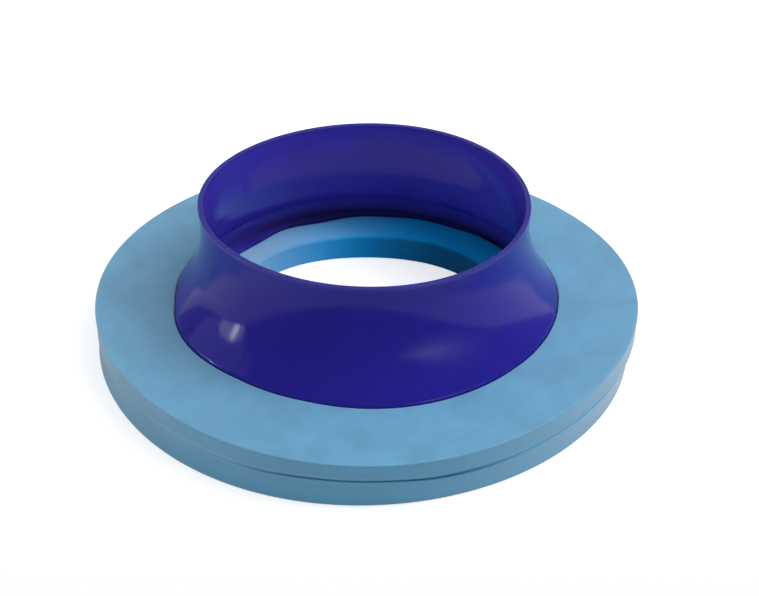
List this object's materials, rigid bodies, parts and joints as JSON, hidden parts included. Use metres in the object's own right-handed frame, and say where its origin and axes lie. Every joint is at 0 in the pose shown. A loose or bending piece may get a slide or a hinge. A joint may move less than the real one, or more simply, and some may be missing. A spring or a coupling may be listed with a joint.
{
  "type": "toilet pan seal",
  "caption": "Round pan seal: a flared plastic guide sleeve standing out of a flat two-layer foam ring that seals a toilet outlet to a floor drain.",
  "frame": {"origin": "centre of the lower foam ring's underside, on the axis of the sleeve", "axes": "+Z along the sleeve's axis, from the foam rings towards the sleeve's rim; X and Y are alike because the part is round"},
  "size_m": [0.155, 0.155, 0.0435],
  "materials": {
    "foam": "matte closed-cell foam, pale blue",
    "sleeve_plastic": "semi-gloss flexible plastic, deep violet blue"
  },
  "bodies": {
    "root": {"lower_foam_ring": "foam", "upper_foam_ring": "foam", "guide_sleeve": "sleeve_plastic"}
  },
  "joints": []
}
